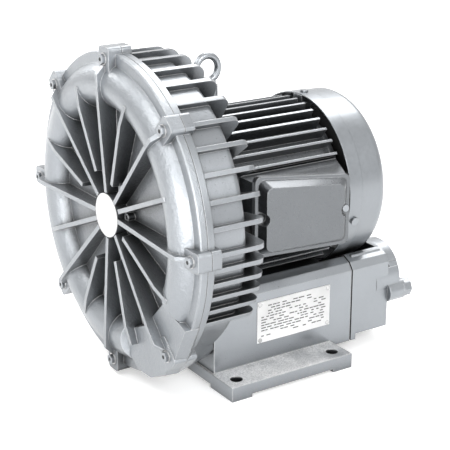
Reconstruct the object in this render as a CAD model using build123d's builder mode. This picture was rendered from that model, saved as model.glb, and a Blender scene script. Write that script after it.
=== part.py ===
from build123d import *
from math import atan2, cos, degrees, radians, sin, sqrt
import os

# Side channel (ring) blower with a finned motor and a silencer base, in millimetres.
# +Z is up. The shaft runs along Y over x = 0: the ribbed cover faces -Y, the motor cowl faces +Y,
# and the nameplate and the terminal box are on the +X side.
# The origin is the centre of the foot-hole pattern, on the floor.
# A clock angle is measured round the shaft from straight up towards +X.

# ---- Shaft line -------------------------------------------------------------------------------
shaft_height = 188.0
joint_y = -137.0  # where the cover meets the casing
gasket_thickness = 0.5
rotor_gap = 0.5  # between the impeller or rotor core and what stands round it
bearing_gap = 0.03  # radial, shaft in bearing
screw_gap = 0.1  # radial, screw shank in its hole

# ---- Side channel and impeller ----------------------------------------------------------------
channel_radius = 141.0  # from the shaft to the middle of the channel
channel_half_width = 20.0
channel_depth = 17.0
impeller_width = 28.0
impeller_web = 3.0
impeller_disc = 12.0
blade_count = 36
blade_thickness = 2.4
blade_root_radius = 119.0
hub_bore_radius = 12.0
impeller_hub_radius = 21.0
key_width = 6.0
key_height = 6.0
key_length = 22.0
washer_thickness = 2.0
nut_width = 30.0
nut_height = 8.5

# ---- Castings ---------------------------------------------------------------------------------
casting_wall = 5.0
cover_wall = 4.5
cover_flange_thickness = 8.0
casing_flange_thickness = 9.0
flange_radius = 175.5
hub_face_radius = 25.0
hub_height = 19.0  # from the joint to the hub's face
drum_radius = 166.0
drum_corner = 8.0
casing_rear_wall = 8.0
spigot_radius = 42.0
motor_boss_radius = 110.0
motor_boss_inner = 94.0
motor_boss_height = 9.0

# ---- Cover ribs: straight, radial, one every 22.5 degrees from straight up ---------------------
cover_rib_starts = (26, 41, 26, 30, 26, 40, 26, 51, 26, 60, 26, 26, 26, 56, 26, 49)
cover_rib_thickness = 6.4  # at the root
cover_rib_draft = 2.6
rib_overlap = 2.0
rib_run_out = 8.0
lug_rib_end = flange_radius - 12.5
bulge_rib_end = 142.0
rib_fade_radius = 116.0  # where the ribs without a lug start to sink into the bulge
rib_fade_rise = 1.0  # what is left of them on the bulge's crest
rib_rise = 7.0  # how far the crests stand out past the hub's face over the channel

# ---- Cover screws and their lugs --------------------------------------------------------------
cover_screw_count = 8
cover_screw_inset = 5.5  # from the flange's rim to the screw circle
cover_screw_circle = flange_radius - cover_screw_inset
lug_reach = 7.5  # past the flange's rim
lug_depth = 33.0
lug_outer = flange_radius + lug_reach
lug_inner = lug_outer - lug_depth
lug_width = 21.0
lug_corner = 4.0
lug_front_height = 16.0  # from the joint to the screw seat
lug_rear_length = 11.0
cover_screw_radius = 3.0
cover_screw_head = 10.0
cover_screw_head_height = 4.5
cover_screw_grip = 24.0
flange_edge = 1.2  # bevel round the two flanges
side_pad_clock = -112.5
side_pad_depth = 14.0
side_pad_width = 24.0
side_pad_length = 20.0
screw_radius = 4.0
screw_head_width = 13.0
screw_head_height = 5.5
screw_grip = 22.0

# ---- Cooling ribs round the casing ------------------------------------------------------------
casing_rib_radius = 172.5
casing_rib_inner = 114.0
casing_rib_thickness = 5.0
casing_rib_corner = 12.0
casing_rib_overhang = 20.0  # past the drum's rear wall
casing_rib_pitch = 9.0
casing_rib_drop = 16.0  # between the level ribs below the shaft
level_rib_count = 5

# ---- Ports between the casing and the base ----------------------------------------------------
port_clock = 152.0
port_radius = 19.0

# ---- Silencer base ----------------------------------------------------------------------------
base_half_width = 93.0
base_front_y = -78.0
base_rear_y = 110.0
base_top = shaft_height - 87.0
base_bottom = 10.0
base_edge = 7.0
base_wall = 6.0
base_front_wall = 8.0
foot_half_width = 134.0
foot_half_length = 81.0
foot_thickness = 17.0
foot_relief = 4.0
foot_pad_length = 26.0
foot_pad_width = 44.0
foot_hole_x = 117.5
foot_hole_y = 65.0
foot_hole_radius = 7.0
rear_shoulder_x = 75.0
shoulder_low = base_top - 3.0
shoulder_middle_x = 87.0
shoulder_middle = base_top + 5.0
rear_shoulder_top = base_top + 10.5
lip_scoop_radius = 109.0
cowl_scoop_radius = 106.0
scoop_length = 18.0
manifold_scoop_length = -48.0

base_screw_x = 38.0
base_screw_low = base_top - 53.0
base_screw_high = base_top - 25.0
chamber_inner_x = 6.0
chamber_bottom = 20.0
chamber_corner = 16.0
chamber_inner_top = base_top - 29.0
liner_bore = 24.0
liner_front_y = -45.0
liner_gap = 0.2

# ---- Rear manifold ----------------------------------------------------------------------------
manifold_length = 53.0
manifold_flange = 7.0
manifold_bottom = 17.0
manifold_gasket = 2.0
outlet_x = 54.0
outlet_z = base_top - 29.0
outlet_boss_radius = 40.0
outlet_boss_length = 17.0
outlet_bore_radius = 22.4
outlet_bore_length = 20.0
manifold_screw_radius = 3.0
manifold_head_width = 10.0
manifold_head_height = 4.0
manifold_pocket_radius = 7.0
manifold_screw_grip = 14.0  # into the base
manifold_screw_x = 83.0
manifold_screw_low = 24.0
manifold_screw_high = base_top - 12.0
plug_x = 87.0
plug_z = base_top - 43.0
plug_boss_radius = 12.5
plug_boss_length = 4.0
plug_width = 21.0
plug_length = 13.0
plug_recess = 2.0
plug_collar_length = 3.0
ridge_radius = 2.5
ridge_length = 42.0
ridge_shares = (0.4, 0.8)  # places of the ridges across the sloping shoulder

# ---- Motor ------------------------------------------------------------------------------------
frame_length = 154.0
frame_bore = 76.5
frame_radius = 84.0
fin_radius = 99.0
fin_thickness = 2.8
fin_pitch = 9.0
fins_per_side = 16
fin_end_gap = 8.0
box_fins_from = 60.0
box_fins_to = 116.0
motor_flange_radius = 108.0
motor_flange_thickness = 12.0
motor_screw_circle = 101.0
spigot_gap = 0.05
shaft_radius = 15.0
rear_shaft_radius = 12.5
core_seat_radius = 17.0
front_bearing_radius = 36.0
front_bearing_width = 19.0
rear_bearing_radius = 26.0
rear_bearing_width = 15.0
seal_radius = 26.0
seal_width = 7.0
core_length = 96.0
rotor_core_radius = 45.0
winding_length = 20.0
winding_inner = 50.0
winding_outer = 72.0
winding_corner = 5.0
end_ring_length = 8.0
end_ring_inner = 30.0
shield_thickness = 6.0
shield_hub_radius = 34.0
shield_screw_radius = 2.0
shield_screw_circle = 80.25
shield_screw_grip = 16.0
support_half_width = 34.0
support_length = 70.0
support_middle_y = 20.0

# ---- Fan and cowl -----------------------------------------------------------------------------
cowl_front_y = 96.5
cowl_band_length = 18.0
cowl_radius = 102.5
cowl_wall = 1.5
cowl_step = 1.2
cowl_rear_y = 152.0
cowl_corner = 12.0
grille_slots = 24
grille_slot_width = 5.0
grille_slot_rows = ((24.0, 46.0), (52.0, 84.0))  # inner and outer radius of each row
cowl_screw_clocks = (0.0, 105.0, 255.0)
cowl_screw_radius = 2.5
fan_radius = 86.0
fan_disc_radius = 84.0
fan_width = 22.0
fan_blades = 8
fan_plate = 2.5
clip_thickness = 1.2
ear_width = 16.0
ear_rear_y = 110.0
cowl_screw_grip = 9.0

# ---- Terminal box -----------------------------------------------------------------------------
box_front_y = -42.0
box_rear_y = 64.0
box_front_x = 115.0
box_rear_x = 139.0
box_front_low = shaft_height - 36.0
box_front_high = shaft_height + 54.0
box_rear_low = shaft_height - 31.5
box_rear_high = shaft_height + 46.5
box_seat_x = 85.0
box_seat_rear_y = 88.0
box_seat_low = shaft_height - 38.0
box_seat_high = shaft_height + 46.0
box_flange_thickness = 5.0
box_wall = 4.0
box_gasket = 1.0
cover_plate_thickness = 2.0
pan_inset = 3.5
pan_wall_inset = 6.5
pan_bevel = 5.5
pan_front_depth = 12.0
pan_rear_depth = 7.0
pan_notch = 7.5
box_corner = 7.0
box_screw_radius = 2.5
box_screw_inset = 5.0
box_screw_grip = 9.0
box_screw_boss = 5.0
box_screw_head_radius = 3.8
box_screw_head_height = 2.4
terminal_board_length = 56.0
terminal_board_height = 30.0
terminal_board_thickness = 9.0
terminal_stud_radius = 2.5
terminal_stud_length = 10.0
conduit_hole_radius = 8.0
conduit_x = 97.0
conduit_z = shaft_height - 13.0
conduit_plug_width = 20.0
conduit_plug_head = 6.0

# ---- Small parts ------------------------------------------------------------------------------
eye_y = -27.0
eye_seat_z = shaft_height + 127.5
eye_ring_radius = 14.0  # middle of the ring's bar
eye_bar_radius = 4.0
eye_collar_radius = 10.0
eye_boss_radius = 12.0
eye_collar_height = 6.0
eye_shank_length = 14.0
eye_web_thickness = 8.0
plate_length = 100.0
plate_height = 49.0
plate_thickness = 0.8
plate_y = 28.5
plate_z = base_top - 37.5
plate_rivet_radius = 1.6
plate_rivet_inset = 3.2
plate_rivet_grip = 4.0

# ---- Worked-out stations along the shaft ------------------------------------------------------
casing_front_y = joint_y + gasket_thickness
impeller_front_y = joint_y + rotor_gap
impeller_rear_y = impeller_front_y + impeller_width
casing_floor_y = impeller_rear_y + rotor_gap
front_channel_y = joint_y - channel_depth + channel_half_width
rear_channel_y = casing_floor_y + channel_depth - channel_half_width
impeller_radius = channel_radius + channel_half_width - rotor_gap
cavity_radius = channel_radius + channel_half_width
cover_disc_y = joint_y - cover_wall
cover_flange_y = joint_y - cover_flange_thickness
hub_face_y = joint_y - hub_height
bulge_radius = channel_half_width + casting_wall
bulge_crest_y = front_channel_y - bulge_radius
rib_crest_y = hub_face_y - rib_rise
hub_cavity_y = hub_face_y + casting_wall
casing_flange_y = joint_y + casing_flange_thickness
casing_rear_y = casing_floor_y + channel_depth + casing_rear_wall
motor_boss_y = casing_rear_y + motor_boss_height
screw_seat_y = joint_y - lug_front_height
gasket_rear_y = base_rear_y + manifold_gasket
manifold_rear_y = gasket_rear_y + manifold_length
outlet_face_y = manifold_rear_y + outlet_boss_length

shaft_axis = Axis((0, 0, shaft_height), (0, 1, 0))
shaft_plane = Plane.XY.offset(shaft_height)  # profiles here have x as radius and y as station


def station(y):
    """Plane across the shaft at y, seen from the cover's side: x to the right, y up."""
    return Plane(origin=(0, y, shaft_height), x_dir=(1, 0, 0), z_dir=(0, -1, 0))


def floor_station(y):
    """The same plane with its origin on the floor."""
    return Plane(origin=(0, y, 0), x_dir=(1, 0, 0), z_dir=(0, -1, 0))


def meridian(clock):
    """Half plane through the shaft at a clock angle: x is radius, y is the station."""
    out = radians(clock)
    return Plane(
        origin=(0, 0, shaft_height),
        x_dir=(sin(out), 0, cos(out)),
        z_dir=(-cos(out), 0, sin(out)),
    )


def start_angle(clock):
    """Angle on a station plane of a clock angle."""
    return 90 - clock


def cowl_screw_plane(clock):
    """Plane square to a cowl screw, on the cowl's front band."""
    out = radians(clock)
    return Plane(
        origin=(
            cowl_radius * sin(out),
            cowl_front_y + cowl_band_length / 2,
            shaft_height + cowl_radius * cos(out),
        ),
        x_dir=(0, 1, 0),
        z_dir=(sin(out), 0, cos(out)),
    )


def save(name, piece):
    piece.part.label = name
    export_step(piece.part, f"parts/{name}.step")


os.makedirs("parts", exist_ok=True)

cover_rib_pitch = 360 / len(cover_rib_starts)

# Bulge of the cover over the channel: where its round section meets the disc and the flange.
bulge_inner = channel_radius - sqrt(bulge_radius**2 - (cover_disc_y - front_channel_y) ** 2)
bulge_outer = channel_radius + sqrt(bulge_radius**2 - (cover_flange_y - front_channel_y) ** 2)

# Seen from the front, the channel's bulge stops at the lower right in a flat pocket, and the
# housing of the port stands up from it.
pocket_outline = ((98, -55), (146, -82), (96, -140), (46, -161), (31, -108), (70, -88))
port_block_outline = (
    (158, -79),
    (136, -120),
    (113, -147),
    (84, -162),
    (56, -163),
    (38, -152),
    (34, -132),
    (48, -113),
    (73, -101),
    (112, -62),
)
pocket_draft = 25
port_block_height = 15
port_block_draft = 8
tap_place = (34, 6)
tap_radius = 5
tap_hole_radius = 2.6
tap_height = 8
gate_place = (20, 33)
gate_size = (9, 13)
gate_height = 7
front_channel_start = 170
front_channel_end = 472
rear_channel_start = 200
rear_channel_end = 520

# ---- Front cover: the ribbed die-casting ------------------------------------------------------
with BuildPart() as front_cover:
    with BuildSketch(shaft_plane):
        with BuildLine():
            Polyline(
                (0, joint_y),
                (0, cover_disc_y),
                (bulge_inner, cover_disc_y),
            )
            ThreePointArc(
                (bulge_inner, cover_disc_y),
                (channel_radius, bulge_crest_y),
                (bulge_outer, cover_flange_y),
            )
            Polyline(
                (bulge_outer, cover_flange_y),
                (flange_radius - flange_edge, cover_flange_y),
                (flange_radius, cover_flange_y + flange_edge),
                (flange_radius, joint_y),
                (0, joint_y),
            )
        make_face()
    revolve(axis=shaft_axis)
    # Pocket where the bulge stops, with sloping end faces.
    with BuildSketch(station(cover_disc_y)):
        with BuildLine():
            Polyline(*pocket_outline, close=True)
        make_face()
    extrude(amount=hub_height + rib_rise, taper=-pocket_draft, mode=Mode.SUBTRACT)
    with BuildSketch(station(joint_y)):
        with BuildLine():
            Polyline(*port_block_outline, close=True)
        make_face()
    extrude(amount=port_block_height, taper=port_block_draft)
    # Screw lugs.
    with BuildSketch(station(joint_y)):
        with PolarLocations(
            (lug_inner + lug_outer) / 2, cover_screw_count, start_angle=start_angle(0)
        ):
            RectangleRounded(lug_outer - lug_inner, lug_width, lug_corner)
    extrude(amount=lug_front_height)
    # Hub and ribs, left tall and then trimmed to one shallow cone of crests. The ribs that have no
    # lug sink into the bulge, so they are made and trimmed first.
    trim_height = 1.5 * (hub_height + rib_rise)
    for family in (1, 0):
        rib_end = bulge_rib_end if family else lug_rib_end
        for number in range(family, len(cover_rib_starts), 2):
            rib_start = cover_rib_starts[number]
            with BuildSketch(station(cover_disc_y)):
                with PolarLocations(
                    (rib_start + rib_end) / 2, 1, start_angle=start_angle(number * cover_rib_pitch)
                ):
                    Rectangle(rib_end - rib_start + rib_overlap, cover_rib_thickness)
            extrude(amount=hub_height + rib_rise - cover_wall + rib_overlap, taper=cover_rib_draft)
        if family:
            crest = (
                (rib_fade_radius, rib_crest_y + rib_fade_rise),
                (bulge_rib_end, bulge_crest_y - rib_fade_rise),
                (bulge_rib_end + rib_overlap, bulge_crest_y - rib_fade_rise),
            )
        else:
            with BuildSketch(station(cover_disc_y)):
                Circle(hub_face_radius)
            extrude(amount=trim_height, taper=cover_rib_draft)
            crest = (
                (channel_radius, rib_crest_y),
                (lug_rib_end - rib_run_out, rib_crest_y),
                (lug_rib_end + rib_overlap, screw_seat_y),
            )
        with BuildSketch(shaft_plane):
            with BuildLine():
                Polyline(
                    (0, hub_face_y),
                    (hub_face_radius + rib_overlap, hub_face_y),
                    *crest,
                    (crest[-1][0], joint_y - 2 * trim_height),
                    (0, joint_y - 2 * trim_height),
                    close=True,
                )
            make_face()
        revolve(axis=shaft_axis, mode=Mode.SUBTRACT)
    # Small tapped boss and the stub of the casting's gate, beside the hub.
    with BuildSketch(station(cover_disc_y)):
        with Locations(tap_place):
            Circle(tap_radius)
    extrude(amount=tap_height, taper=cover_rib_draft)
    with BuildSketch(station(cover_disc_y - tap_height)):
        with Locations(tap_place):
            Circle(tap_hole_radius)
    extrude(amount=-tap_height, mode=Mode.SUBTRACT)
    with BuildSketch(station(cover_disc_y)):
        with Locations(gate_place):
            Rectangle(*gate_size)
    extrude(amount=gate_height, taper=cover_rib_draft)
    # Side channel and hub cavity behind.
    with BuildSketch(meridian(front_channel_start)):
        with Locations((channel_radius, front_channel_y)):
            Circle(channel_half_width)
    revolve(
        axis=shaft_axis,
        revolution_arc=front_channel_end - front_channel_start,
        mode=Mode.SUBTRACT,
    )
    with BuildSketch(station(joint_y)):
        Circle(impeller_hub_radius + rotor_gap)
    extrude(amount=joint_y - hub_cavity_y, mode=Mode.SUBTRACT)
    with BuildSketch(station(screw_seat_y)):
        with PolarLocations(cover_screw_circle, cover_screw_count, start_angle=start_angle(0)):
            Circle(cover_screw_radius + screw_gap)
    extrude(amount=-lug_front_height, mode=Mode.SUBTRACT)
save("front_cover", front_cover)

# ---- Gasket between cover and casing ----------------------------------------------------------
with BuildPart() as cover_gasket:
    with BuildSketch(station(joint_y)):
        Circle(flange_radius)
        Circle(cavity_radius + 1, mode=Mode.SUBTRACT)
        with PolarLocations(cover_screw_circle, cover_screw_count, start_angle=start_angle(0)):
            Circle(cover_screw_radius + screw_gap, mode=Mode.SUBTRACT)
    extrude(amount=-gasket_thickness)
save("cover_gasket", cover_gasket)

base_screw_places = [
    (x, z) for x in (-base_screw_x, base_screw_x) for z in (base_screw_low, base_screw_high)
]

# ---- Casing: drum, cooling ribs and port block ------------------------------------------------
block_front_outline = (
    (158, -79),
    (136, -120),
    (113, -147),
    (84, -162),
    (-84, -162),
    (-113, -147),
    (-136, -120),
    (-158, -79),
    (-100, -60),
    (100, -60),
)
block_rear_half_width = base_half_width - 1
block_rear_outline = (
    (block_rear_half_width, base_top - base_edge - shaft_height),
    (block_rear_half_width, -125),
    (block_rear_half_width, -142),
    (84, -151),
    (-84, -151),
    (-block_rear_half_width, -142),
    (-block_rear_half_width, -125),
    (-block_rear_half_width, base_top - base_edge - shaft_height),
    (-84, base_top - shaft_height),
    (84, base_top - shaft_height),
)
rib_rear_y = casing_rear_y + casing_rib_overhang

with BuildPart() as casing_ribs:
    radial_rib_count = round(180 / casing_rib_pitch) + 1
    radial_rib_middle = (casing_rib_inner + casing_rib_radius) / 2
    with BuildSketch(station(casing_flange_y - 1)):
        with PolarLocations(
            radial_rib_middle,
            radial_rib_count,
            start_angle=start_angle(90),
            angular_range=180,
            endpoint=True,
        ):
            Rectangle(casing_rib_radius - casing_rib_inner + 20, casing_rib_thickness)
        for level in range(1, level_rib_count + 1):
            with Locations((0, -level * casing_rib_drop)):
                Rectangle(2 * casing_rib_radius, casing_rib_thickness)
    extrude(amount=casing_flange_y - 1 - rib_rear_y)
    with BuildSketch(shaft_plane):
        with BuildLine():
            Polyline(
                (casing_rib_radius - casing_rib_corner, rib_rear_y),
                (casing_rib_inner + 6, rib_rear_y),
                (casing_rib_inner, rib_rear_y - 6),
                (casing_rib_inner, casing_rear_y - 3),
                (drum_radius - drum_corner, casing_rear_y - 3),
                (drum_radius - 3, casing_rear_y - drum_corner),
                (drum_radius - 3, casing_flange_y - 1),
                (casing_rib_radius, casing_flange_y - 1),
                (casing_rib_radius, rib_rear_y - casing_rib_corner),
            )
            RadiusArc(
                (casing_rib_radius, rib_rear_y - casing_rib_corner),
                (casing_rib_radius - casing_rib_corner, rib_rear_y),
                -casing_rib_corner,
            )
        make_face()
    revolve(axis=shaft_axis, mode=Mode.INTERSECT)

with BuildPart() as rear_casing:
    with BuildSketch(shaft_plane):
        with BuildLine():
            Polyline(
                (0, casing_front_y),
                (flange_radius, casing_front_y),
                (flange_radius, casing_flange_y - flange_edge),
                (flange_radius - flange_edge, casing_flange_y),
                (drum_radius, casing_flange_y),
                (drum_radius, casing_rear_y - drum_corner),
            )
            RadiusArc(
                (drum_radius, casing_rear_y - drum_corner),
                (drum_radius - drum_corner, casing_rear_y),
                -drum_corner,
            )
            Polyline(
                (drum_radius - drum_corner, casing_rear_y),
                (motor_boss_radius, casing_rear_y),
                (motor_boss_radius, motor_boss_y),
                (motor_boss_inner, motor_boss_y),
                (motor_boss_inner, casing_floor_y + casing_rear_wall),
                (spigot_radius + casing_rear_wall, casing_floor_y + casing_rear_wall),
                (spigot_radius + casing_rear_wall, motor_boss_y),
                (0, motor_boss_y),
                (0, casing_front_y),
            )
        make_face()
    revolve(axis=shaft_axis)
    add(casing_ribs.part)
    with BuildSketch(station(casing_front_y)):
        with BuildLine():
            Polyline(*block_front_outline, close=True)
        make_face()
    with BuildSketch(station(base_front_y)):
        with BuildLine():
            Polyline(*block_rear_outline, close=True)
        make_face()
    loft(ruled=True)
    with BuildSketch(station(casing_front_y)):
        with PolarLocations(
            (lug_inner + lug_outer) / 2, cover_screw_count, start_angle=start_angle(0)
        ):
            RectangleRounded(lug_outer - lug_inner, lug_width, lug_corner)
    extrude(amount=-lug_rear_length)
    with BuildSketch(station(casing_front_y)):
        with PolarLocations(flange_radius, 1, start_angle=start_angle(side_pad_clock)):
            RectangleRounded(side_pad_depth, side_pad_width, flange_edge)
    extrude(amount=-side_pad_length)
    # Inside: room for the impeller, the channel, the ports and the motor's spigot.
    with BuildSketch(station(casing_front_y)):
        Circle(cavity_radius)
    extrude(amount=casing_front_y - casing_floor_y, mode=Mode.SUBTRACT)
    with BuildSketch(meridian(rear_channel_start)):
        with Locations((channel_radius, rear_channel_y)):
            Circle(channel_half_width)
    revolve(
        axis=shaft_axis,
        revolution_arc=rear_channel_end - rear_channel_start,
        mode=Mode.SUBTRACT,
    )
    with BuildSketch(station(base_front_y)):
        for side in (port_clock, -port_clock):
            with PolarLocations(channel_radius, 1, start_angle=start_angle(side)):
                Circle(port_radius)
    extrude(amount=casing_floor_y - base_front_y, mode=Mode.SUBTRACT)
    with BuildSketch(station(casing_floor_y)):
        Circle(spigot_radius)
    extrude(amount=casing_floor_y - motor_boss_y, mode=Mode.SUBTRACT)
    # The motor's boss is cut off level where the base stands under it.
    with BuildSketch(floor_station(base_front_y)):
        with Locations((0, base_top / 2)):
            Rectangle(2 * motor_boss_radius, base_top)
    extrude(amount=base_front_y - motor_boss_y, mode=Mode.SUBTRACT)
    with BuildSketch(station(casing_front_y)):
        with PolarLocations(cover_screw_circle, cover_screw_count, start_angle=start_angle(0)):
            Circle(cover_screw_radius + screw_gap)
    extrude(amount=-lug_rear_length + 2, mode=Mode.SUBTRACT)
    with BuildSketch(station(motor_boss_y)):
        with PolarLocations(motor_screw_circle, 4, start_angle=45):
            Circle(screw_radius + screw_gap)
    extrude(amount=screw_grip - motor_flange_thickness + 2, mode=Mode.SUBTRACT)
    with BuildSketch(floor_station(base_front_y)):
        with Locations(*base_screw_places):
            Circle(screw_radius + screw_gap)
    extrude(amount=screw_grip - base_front_wall + 2, mode=Mode.SUBTRACT)
save("rear_casing", rear_casing)

# ---- Cover screws -----------------------------------------------------------------------------
with BuildPart() as cover_screws:
    with BuildSketch(station(screw_seat_y)):
        with PolarLocations(cover_screw_circle, cover_screw_count, start_angle=start_angle(0)):
            RegularPolygon(cover_screw_head / 2, 6, major_radius=False)
    extrude(amount=cover_screw_head_height)
    with BuildSketch(station(screw_seat_y)):
        with PolarLocations(cover_screw_circle, cover_screw_count, start_angle=start_angle(0)):
            Circle(cover_screw_radius)
    extrude(amount=-cover_screw_grip)
save("cover_screws", cover_screws)

# ---- Silencer base: box, foot plate and two chambers ------------------------------------------
box_outline = (
    (base_half_width, base_bottom),
    (base_half_width, base_top - base_edge),
    (base_half_width - base_edge, base_top),
    (-base_half_width + base_edge, base_top),
    (-base_half_width, base_top - base_edge),
    (-base_half_width, base_bottom),
)
shoulder_outline = (
    (base_half_width, base_bottom),
    (base_half_width, shoulder_low),
    (shoulder_middle_x, shoulder_middle),
    (rear_shoulder_x, rear_shoulder_top),
    (-rear_shoulder_x, rear_shoulder_top),
    (-shoulder_middle_x, shoulder_middle),
    (-base_half_width, shoulder_low),
    (-base_half_width, base_bottom),
)
plate_face = Plane(
    origin=(base_half_width, plate_y, plate_z), x_dir=(0, 1, 0), z_dir=(1, 0, 0)
)
rivet_pitch_x = plate_length - 2 * plate_rivet_inset
rivet_pitch_z = plate_height - 2 * plate_rivet_inset
chamber_outer_x = base_half_width - base_wall
chamber_top = base_top - base_wall - 2
chamber_outline = (
    (chamber_inner_x, chamber_bottom),
    (chamber_outer_x - chamber_corner, chamber_bottom),
    (chamber_outer_x, chamber_bottom + chamber_corner),
    (chamber_outer_x, chamber_top - chamber_corner),
    (chamber_outer_x - chamber_corner, chamber_top),
    (chamber_outer_x - 2 * chamber_corner, chamber_top),
    (chamber_inner_x, chamber_inner_top),
)
manifold_screw_places = [
    (x, z)
    for x in (-manifold_screw_x, manifold_screw_x)
    for z in (manifold_screw_low, manifold_screw_high)
]

lip_front_y = rib_rear_y + 1

with BuildPart() as silencer_base:
    # Raised sides that cradle the motor, behind the casing's ribs.
    with BuildSketch(floor_station(base_rear_y)):
        with BuildLine():
            Polyline(*shoulder_outline, close=True)
        make_face()
        with Locations((0, shaft_height)):
            Circle(lip_scoop_radius, mode=Mode.SUBTRACT)
    extrude(amount=base_rear_y - lip_front_y)
    with BuildSketch(floor_station(base_rear_y)):
        with BuildLine():
            Polyline(*box_outline, close=True)
        make_face()
    extrude(amount=base_rear_y - base_front_y)
    with BuildSketch():
        Rectangle(2 * foot_half_width, 2 * foot_half_length)
    extrude(amount=foot_thickness)
    # Relief under the foot plate leaves four pads.
    with BuildSketch():
        Rectangle(2 * foot_half_width, 2 * (foot_half_length - foot_pad_length))
        Rectangle(2 * (foot_half_width - foot_pad_width), 2 * foot_half_length)
    extrude(amount=foot_relief, mode=Mode.SUBTRACT)
    with BuildSketch():
        with GridLocations(2 * foot_hole_x, 2 * foot_hole_y, 2, 2):
            Circle(foot_hole_radius)
    extrude(amount=foot_thickness, mode=Mode.SUBTRACT)
    # Scoop under the motor cowl.
    with BuildSketch(station(base_rear_y)):
        Circle(cowl_scoop_radius)
    extrude(amount=scoop_length, mode=Mode.SUBTRACT)
    with BuildSketch(floor_station(base_rear_y)):
        with BuildLine():
            Polyline(*chamber_outline, close=True)
        make_face()
        mirror(about=Plane.YZ)
    extrude(amount=base_rear_y - base_front_y - base_front_wall, mode=Mode.SUBTRACT)
    with BuildSketch(station(base_front_y)):
        for side in (port_clock, -port_clock):
            with PolarLocations(channel_radius, 1, start_angle=start_angle(side)):
                Circle(port_radius)
    extrude(amount=-base_front_wall, mode=Mode.SUBTRACT)
    with BuildSketch(floor_station(base_front_y)):
        with Locations(*base_screw_places):
            Circle(screw_radius + screw_gap)
    extrude(amount=-base_front_wall, mode=Mode.SUBTRACT)
    with BuildSketch(floor_station(base_rear_y)):
        with Locations(*manifold_screw_places):
            Circle(manifold_screw_radius + screw_gap)
    extrude(amount=manifold_screw_grip + 2, mode=Mode.SUBTRACT)
    with BuildSketch(plate_face):
        with GridLocations(rivet_pitch_x, rivet_pitch_z, 2, 2):
            Circle(plate_rivet_radius + screw_gap)
    extrude(amount=-plate_rivet_grip, mode=Mode.SUBTRACT)
save("silencer_base", silencer_base)

# ---- Screws from inside the base into the casing ----------------------------------------------
with BuildPart() as base_screws:
    with BuildSketch(floor_station(base_front_y + base_front_wall)):
        with Locations(*base_screw_places):
            RegularPolygon(screw_head_width / 2, 6, major_radius=False)
    extrude(amount=-screw_head_height)
    with BuildSketch(floor_station(base_front_y + base_front_wall)):
        with Locations(*base_screw_places):
            Circle(screw_radius)
    extrude(amount=screw_grip)
save("base_screws", base_screws)

# ---- Foam liners of the two silencer chambers -------------------------------------------------
with BuildPart() as silencer_liners:
    with BuildSketch(floor_station(base_rear_y - 1)):
        with BuildLine():
            Polyline(*chamber_outline, close=True)
        make_face()
        offset(amount=-liner_gap, kind=Kind.INTERSECTION)
        with Locations((outlet_x - 4, outlet_z - 16)):
            Circle(liner_bore, mode=Mode.SUBTRACT)
        mirror(about=Plane.YZ)
    extrude(amount=base_rear_y - 1 - liner_front_y)
save("silencer_liners", silencer_liners)

# ---- Gasket and rear manifold -----------------------------------------------------------------
with BuildPart() as manifold_gasket_sheet:
    with BuildSketch(floor_station(base_rear_y)):
        with BuildLine():
            Polyline(*shoulder_outline, close=True)
        make_face()
        offset(amount=-1, kind=Kind.INTERSECTION)
        with BuildLine():
            Polyline(*chamber_outline, close=True)
        make_face(mode=Mode.SUBTRACT)
        with BuildLine():
            Polyline(*[(-x, z) for x, z in chamber_outline], close=True)
        make_face(mode=Mode.SUBTRACT)
        with Locations(*manifold_screw_places):
            Circle(manifold_screw_radius + screw_gap, mode=Mode.SUBTRACT)
    extrude(amount=-manifold_gasket)
    with BuildSketch(station(base_rear_y)):
        Circle(cowl_scoop_radius)
    extrude(amount=-manifold_gasket, mode=Mode.SUBTRACT)
save("manifold_gasket", manifold_gasket_sheet)

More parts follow.
